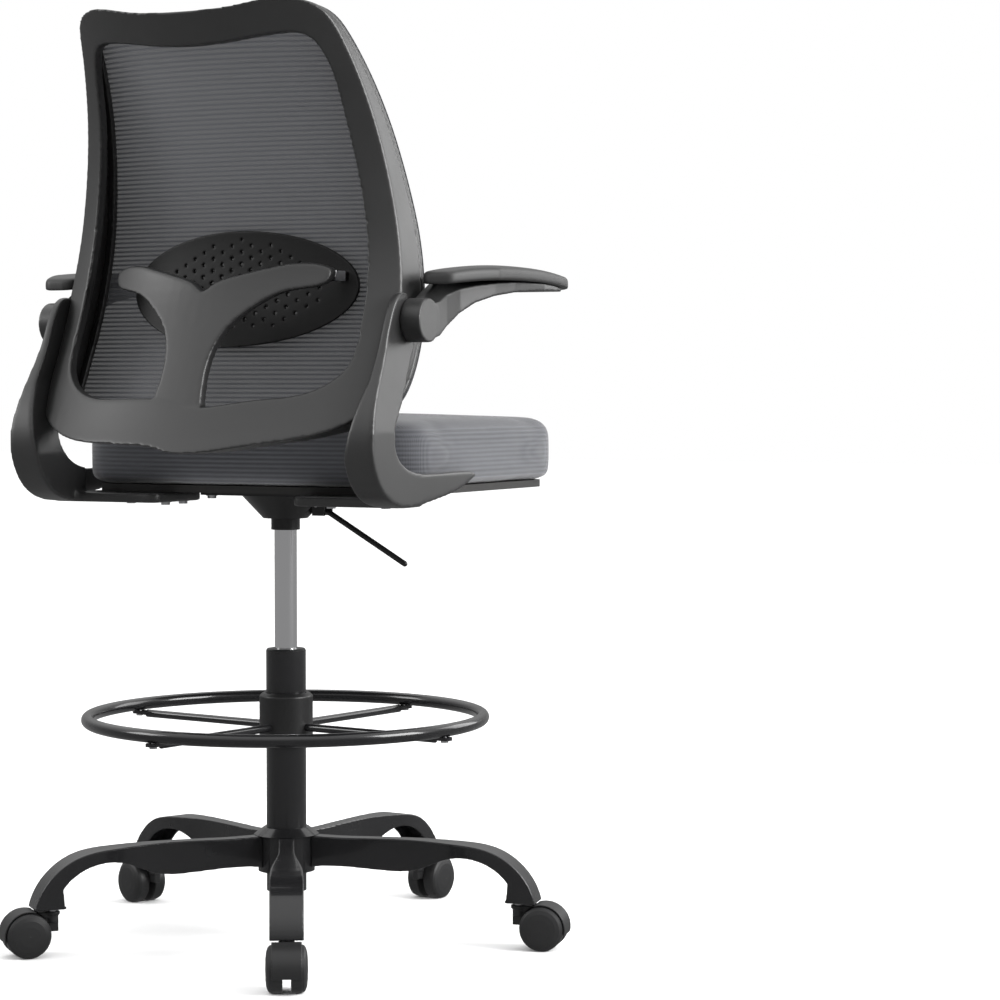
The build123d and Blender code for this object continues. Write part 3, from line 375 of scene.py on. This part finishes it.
def make_materials():
    """One material for each of the record's slots."""
    return {
        "painted_steel": gloss_paint("painted_steel", (0.008, 0.008, 0.0085, 1), 0.24),
        "ring_paint": gloss_paint("ring_paint", (0.007, 0.007, 0.0075, 1), 0.22),
        "chrome_steel": bare_metal("chrome_steel", (0.72, 0.72, 0.73, 1), 0.14, (1, 1, 0.02)),
        "plated_steel": bare_metal("plated_steel", (0.55, 0.55, 0.56, 1), 0.28, (1, 1, 1)),
        "mechanism_paint": moulded_plastic("mechanism_paint", (0.006, 0.006, 0.0062, 1), 0.36, specular=0.3),
        "collar_plastic": moulded_plastic("collar_plastic", (0.007, 0.007, 0.0072, 1), 0.40, specular=0.3),
        "plywood": plywood(),
        "seat_fabric": seat_fabric(),
        "back_mesh_fabric": mesh_fabric(),
        "frame_plastic": moulded_plastic("frame_plastic", FRAME_COLOUR, 0.42),
        "lumbar_plastic": moulded_plastic("lumbar_plastic", shifted(FRAME_COLOUR, 0.5), 0.5, specular=0.22),
        "pad_foam": moulded_plastic("pad_foam", shifted(FRAME_COLOUR, 0.9), 0.55, 1500.0, 0.0001),
        "caster_plastic": moulded_plastic("caster_plastic", (0.012, 0.012, 0.0124, 1), 0.42, specular=0.25),
        "wheel_plastic": moulded_plastic("wheel_plastic", (0.013, 0.013, 0.0134, 1), 0.46, specular=0.25),
    }


def finish_nodes(materials):
    """Give each CAD node the material of its slot."""
    for part in frame["record"]["subparts"]:
        mesh = NODES[part["node"]].data
        mesh.materials.clear()
        mesh.materials.append(materials[part["material_slot"]])


# ---- moulded and pressed parts ----

def soften(node, voxel, rounds):
    """Round a CAD part's edges as a moulding or pressing has them, with modifiers alone."""
    piece = NODES[node]
    remesh = piece.modifiers.new("even_mesh", "REMESH")
    remesh.mode = "VOXEL"
    remesh.voxel_size = voxel
    remesh.use_smooth_shade = True
    smooth = piece.modifiers.new("soft_edges", "SMOOTH")
    smooth.factor = 0.5
    smooth.iterations = rounds


def soften_parts():
    """Every part that is moulded or pressed in one piece."""
    for node, edges in SOFT_EDGES.items():
        soften(node, *edges)
    for number in range(1, LEG_COUNT + 1):
        soften(f"base_leg_{number}", *LEG_EDGES)
        soften(f"caster_hood_{number}", *HOOD_EDGES)


# ---- soft parts ----

def copied(node, name):
    """A free copy of a CAD node's mesh."""
    return new_object(name, NODES[node].data.copy())


def apply_modifiers(piece):
    """Turn a piece's modifiers into its mesh."""
    evaluated = piece.evaluated_get(bpy.context.evaluated_depsgraph_get())
    mesh = bpy.data.meshes.new_from_object(evaluated)
    piece.modifiers.clear()
    piece.data = mesh


def remeshed(piece, voxel):
    """Even quads over a closed mesh."""
    modifier = piece.modifiers.new("remesh", "REMESH")
    modifier.mode = "VOXEL"
    modifier.voxel_size = voxel
    modifier.use_smooth_shade = True
    apply_modifiers(piece)


def ease(piece, rounds):
    """Smooth a mesh."""
    modifier = piece.modifiers.new("ease", "SMOOTH")
    modifier.iterations = rounds
    apply_modifiers(piece)


def dress(piece, material):
    """Give a piece one material and smooth shading."""
    piece.data.materials.clear()
    piece.data.materials.append(material)
    for polygon in piece.data.polygons:
        polygon.use_smooth = True


def draw_in(piece, low, high, amount):
    """Make a piece smaller by the same amount on every side."""
    middle = (low + high) / 2
    size = high - low
    for vertex in piece.data.vertices:
        for axis in range(3):
            scale = 1 - 2 * amount / size[axis]
            vertex.co[axis] = middle[axis] + (vertex.co[axis] - middle[axis]) * scale


def inflate(piece, pressure, last_frame, cap):
    """Swell a closed mesh as stuffed cloth, with no point moving more than cap."""
    start = [vertex.co.copy() for vertex in piece.data.vertices]
    cloth = piece.modifiers.new("cloth", "CLOTH")
    settings = cloth.settings
    settings.use_pressure = True
    settings.uniform_pressure_force = pressure
    settings.effector_weights.gravity = 0
    settings.quality = 4
    scene = bpy.context.scene
    for number in range(1, last_frame + 1):
        scene.frame_set(number)
    apply_modifiers(piece)
    scene.frame_set(1)
    for vertex, place in zip(piece.data.vertices, start):
        move = vertex.co - place
        if move.length > cap:
            vertex.co = place + move * (cap / move.length)


def crown(piece, low, high, rise):
    """Lift the top most in the middle and not at all at its edges."""
    middle = (low + high) / 2
    for vertex in piece.data.vertices:
        across = (vertex.co.x - middle.x) / (high.x - low.x) * 2
        along = (vertex.co.y - middle.y) / (high.y - low.y) * 2
        share = max(0.0, 1 - across ** 2) * max(0.0, 1 - along ** 2)
        height = max(0.0, (vertex.co.z - low.z) / (high.z - low.z))
        vertex.co.z += rise * share * height ** CROWN_POWER


def keep_above(piece, floor):
    """The underside lies flat on what holds it."""
    for vertex in piece.data.vertices:
        vertex.co.z = max(vertex.co.z, floor)


def place_padded(piece, node, body, slot, materials):
    """Common last steps of a padded piece."""
    dress(piece, materials[slot])
    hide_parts(node)
    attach(piece, body)


def make_cushion(materials):
    """Foam seat in a stretched cover."""
    low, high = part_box("seat_cushion")
    cushion = copied("seat_cushion", "seat_cover")
    draw_in(cushion, low, high, CUSHION_START)
    remeshed(cushion, CUSHION_VOXEL)
    inflate(cushion, CUSHION_PRESSURE, CUSHION_FRAMES, CUSHION_CAP)
    ease(cushion, CUSHION_EASE)
    crown(cushion, low, high, CUSHION_CROWN)
    keep_above(cushion, low.z)
    subdivide = cushion.modifiers.new("subdivide", "SUBSURF")
    subdivide.levels = 1
    subdivide.render_levels = 1
    apply_modifiers(cushion)
    place_padded(cushion, "seat_cushion", "seat", "seat_fabric", materials)


def droop(piece, low, high, amount):
    """Bend a long piece down towards its front and rear ends."""
    middle = (low.y + high.y) / 2
    half = (high.y - low.y) / 2
    for vertex in piece.data.vertices:
        share = min(1.0, abs(vertex.co.y - middle) / half)
        vertex.co.z -= amount * share ** DROOP_POWER


def joint_place(name):
    """Where a joint's axis lies."""
    joint = next(joint for joint in frame["joints"] if joint["name"] == name)
    return Vector(joint["pos_m"])


def loft_box(shape, sections):
    """A closed skin through rows of equal length."""
    rows = [[shape.verts.new(place) for place in section] for section in sections]
    count = len(rows[0])
    for first, second in zip(rows, rows[1:]):
        for i in range(count):
            j = (i + 1) % count
            shape.faces.new((first[i], first[j], second[j], second[i]))
    shape.faces.new(reversed(rows[0]))
    shape.faces.new(rows[-1])


def make_arm(side, materials):
    """Moulded arm: a round barrel and a slim neck that flares into the shelf under the pad."""
    node = "arm_beam_" + side
    low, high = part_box(node)
    pivot = joint_place(f"arm_{side}_flip")
    out = 1 if side == "left" else -1
    sections = []
    for along, inner, outer, under, ridge, top in ARM_SECTIONS:
        corners = [(inner, under), (outer, under), (outer, ridge), ((inner + outer) / 2, top), (inner, top)]
        sections.append([pivot + Vector((out * x, along, z)) for x, z in corners])
    arm = new_object("arm_moulding_" + side, bpy.data.meshes.new("arm_moulding_" + side))
    shape = bmesh.new()
    loft_box(shape, sections)
    bmesh.ops.subdivide_edges(shape, edges=shape.edges[:], cuts=ARM_CUTS, use_grid_fill=True,
                              smooth=ARM_ROUNDING)
    barrel_outer = abs(pivot.x) + BARREL_OUTSIDE
    barrel_inner = min(abs(low.x), abs(high.x))
    turn = Matrix.Translation((out * (barrel_outer + barrel_inner) / 2, pivot.y, pivot.z))
    turn = turn @ Matrix.Rotation(math.radians(90), 4, "Y")
    radius = pivot.z - low.z
    bmesh.ops.create_cone(shape, cap_ends=True, segments=BARREL_SEGMENTS, radius1=radius, radius2=radius,
                          depth=barrel_outer - barrel_inner, matrix=turn)
    bmesh.ops.recalc_face_normals(shape, faces=shape.faces[:])
    shape.to_mesh(arm.data)
    shape.free()
    remeshed(arm, ARM_VOXEL)
    ease(arm, ARM_EASE)
    pad_low, pad_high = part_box("arm_pad_" + side)
    droop(arm, pad_low, pad_high, ARM_END_DROP)
    dress(arm, materials["frame_plastic"])
    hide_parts(node)
    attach(arm, "arm_" + side)


def make_pad(side, materials):
    """Soft skinned pad, a little crowned, on an arm."""
    node = "arm_pad_" + side
    low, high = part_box(node)
    pad = copied(node, "arm_cover_" + side)
    remeshed(pad, PAD_VOXEL)
    ease(pad, PAD_EASE)
    crown(pad, low, high, PAD_CROWN)
    droop(pad, low, high, PAD_END_DROP)
    place_padded(pad, node, "arm_" + side, "pad_foam", materials)


def make_mesh(materials):
    """The stretched mesh: the front face of its CAD sheet, as one layer of cloth."""
    sheet = copied("back_mesh", "back_mesh_cloth")
    shape = bmesh.new()
    shape.from_mesh(sheet.data)
    bmesh.ops.remove_doubles(shape, verts=shape.verts, dist=WELD_DISTANCE)
    shape.normal_update()
    behind = [face for face in shape.faces if face.normal.y > MESH_FRONT_NORMAL]
    bmesh.ops.delete(shape, geom=behind, context="FACES")
    loose = [vertex for vertex in shape.verts if not vertex.link_faces]
    bmesh.ops.delete(shape, geom=loose, context="VERTS")
    shape.to_mesh(sheet.data)
    shape.free()
    dress(sheet, materials["back_mesh_fabric"])
    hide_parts("back_mesh")
    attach(sheet, "seat")


# ---- floor, light and camera ----

def make_floor():
    """A plain pale floor that doesn't show in reflections."""
    bpy.ops.mesh.primitive_plane_add(size=FLOOR_SIZE, location=(0, 0, CAD_LOW.z))
    floor = bpy.context.object
    floor.name = "floor"
    material, _, _ = new_material("floor", FLOOR_COLOUR, FLOOR_ROUGHNESS)
    floor.data.materials.append(material)
    floor.visible_glossy = False


def area_light(name, place, target, size, power):
    """A soft box that points at a target."""
    data = bpy.data.lights.new(name, "AREA")
    data.shape = "SQUARE"
    data.size = size
    data.energy = power
    light = new_object(name, data)
    light.location = place
    light.rotation_euler = (Vector(target) - Vector(place)).to_track_quat("-Z", "Y").to_euler()


def make_world():
    """Surroundings that brighten overhead, and a background that is white to the camera only."""
    world = bpy.data.worlds.new("studio")
    world.use_nodes = True
    tree = world.node_tree
    surround = tree.nodes["Background"]
    surround.inputs["Color"].default_value = WHITE
    height = tree.nodes.new("ShaderNodeSeparateXYZ")
    tree.links.new(tree.nodes.new("ShaderNodeTexCoord").outputs["Generated"], height.inputs["Vector"])
    rise = tree.nodes.new("ShaderNodeMapRange")
    rise.interpolation_type = "SMOOTHSTEP"
    rise.inputs["From Min"].default_value = SURROUND_FROM
    rise.inputs["From Max"].default_value = SURROUND_TO
    rise.inputs["To Min"].default_value = SURROUND_LOW
    rise.inputs["To Max"].default_value = SURROUND_HIGH
    tree.links.new(height.outputs["Z"], rise.inputs["Value"])
    tree.links.new(rise.outputs["Result"], surround.inputs["Strength"])
    backdrop = tree.nodes.new("ShaderNodeBackground")
    backdrop.inputs["Color"].default_value = WHITE
    choose = tree.nodes.new("ShaderNodeMixShader")
    tree.links.new(tree.nodes.new("ShaderNodeLightPath").outputs["Is Camera Ray"], choose.inputs["Fac"])
    tree.links.new(surround.outputs["Background"], choose.inputs[1])
    tree.links.new(backdrop.outputs["Background"], choose.inputs[2])
    tree.links.new(choose.outputs["Shader"], tree.nodes["World Output"].inputs["Surface"])
    bpy.context.scene.world = world


def make_lights():
    """The surroundings, and soft boxes that point at the chair's middle."""
    make_world()
    centre = (CAD_LOW + CAD_HIGH) / 2
    for name, place, size, power in SOFT_BOXES:
        area_light(name, place, centre, size, power)


def make_camera():
    """Camera at the view of the chair from behind its right-hand side."""
    away = Vector((math.sin(CAMERA_AZIMUTH), -math.cos(CAMERA_AZIMUTH), 0))
    right = Vector((math.cos(CAMERA_AZIMUTH), math.sin(CAMERA_AZIMUTH), 0))
    level = -away * math.cos(CAMERA_YAW) + right * math.sin(CAMERA_YAW)
    look = level * math.cos(CAMERA_PITCH) + Vector((0, 0, math.sin(CAMERA_PITCH)))
    data = bpy.data.cameras.new("camera")
    data.lens = CAMERA_LENS
    data.sensor_width = CAMERA_SENSOR
    data.clip_end = CAMERA_FAR
    camera = new_object("camera", data)
    camera.location = away * CAMERA_DISTANCE + Vector((0, 0, CAMERA_HEIGHT))
    camera.rotation_euler = look.to_track_quat("-Z", "Y").to_euler()
    bpy.context.scene.camera = camera


bpy.context.scene.view_settings.view_transform = "Standard"
make_camera()
make_floor()
make_lights()
MATERIALS = make_materials()
finish_nodes(MATERIALS)
soften_parts()
make_cushion(MATERIALS)
make_mesh(MATERIALS)
for arm_side in ("left", "right"):
    make_arm(arm_side, MATERIALS)
    make_pad(arm_side, MATERIALS)
